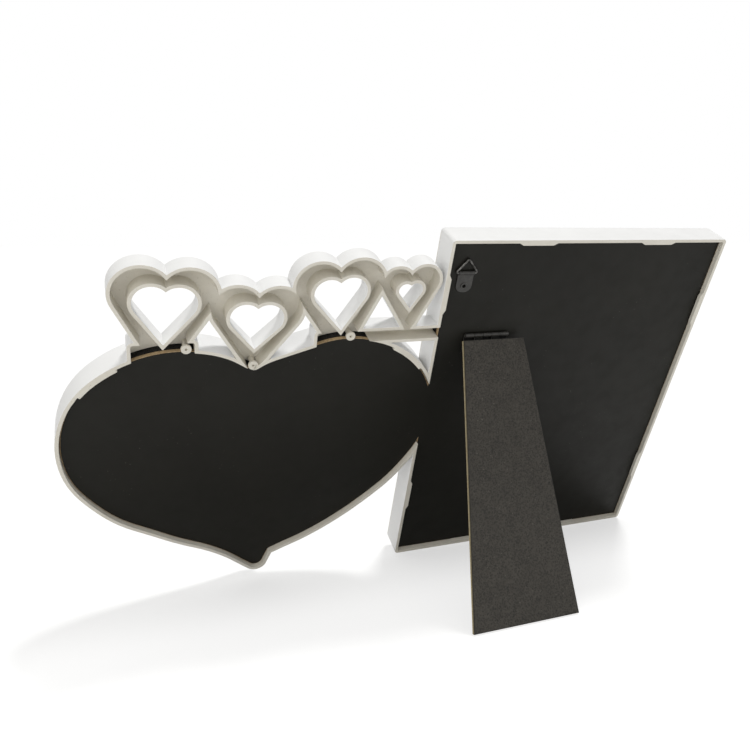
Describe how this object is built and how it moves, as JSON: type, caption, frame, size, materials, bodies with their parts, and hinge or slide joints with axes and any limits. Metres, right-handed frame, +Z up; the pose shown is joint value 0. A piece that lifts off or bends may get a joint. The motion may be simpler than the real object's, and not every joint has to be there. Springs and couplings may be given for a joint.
{
  "type": "heart shaped photo frame",
  "caption": "Free-standing double photo frame: an upright rectangle and a heart moulded as one white shell, with an openwork crest, a black back board and a hinged easel leg.",
  "frame": {"origin": "on the floor, under the middle of the whole outline, with the leg open", "axes": "+X to the right seen from the front, from the rectangle to the heart; +Y to the rear, towards the leg's foot; +Z up"},
  "size_m": [0.3638, 0.13, 0.2075],
  "materials": {
    "white_plastic": "satin moulded white",
    "hardboard": "raw sawn edge",
    "board_black": "satin black facing",
    "clear_sheet": "clear polished",
    "insert_paper": "smooth plain print paper",
    "foam": "black closed-cell foam",
    "leg_board": "raw cut edge, black inner face",
    "leg_paper": "pebbled black paper",
    "black_metal": "black lacquer"
  },
  "bodies": {
    "frame": {"frame_shell": "white_plastic", "back_board": "hardboard", "back_board_facing": "board_black", "heart_window_sheet": "clear_sheet", "heart_photo_insert": "insert_paper", "heart_foam_pad": "foam", "rectangle_window_sheet": "clear_sheet", "rectangle_photo_insert": "insert_paper", "rectangle_foam_pad": "foam", "board_hinge_leaf": "black_metal", "hinge_pin": "black_metal", "board_hinge_rivets": "black_metal", "hanger_strap": "black_metal", "hanger_eyelet": "black_metal"},
    "easel_leg": {"easel_leg_core": "leg_board", "easel_leg_cover": "leg_paper", "leg_hinge_leaf": "black_metal", "leg_hinge_rivets": "black_metal"},
    "hanger_ring": {"hanger_ring": "black_metal"}
  },
  "joints": [
    {"name": "leg_hinge", "type": "hinge", "parent": "frame", "child": "easel_leg", "pos_m": [-0.03943, 0.01614, 0.1496], "axis": [-1, 0, 0], "range_deg": [0, 41]},
    {"name": "ring_hinge", "type": "hinge", "parent": "frame", "child": "hanger_ring", "pos_m": [-0.01963, 0.03132, 0.18444], "axis": [-1, 0, 0], "range_deg": [0, 155]}
  ]
}
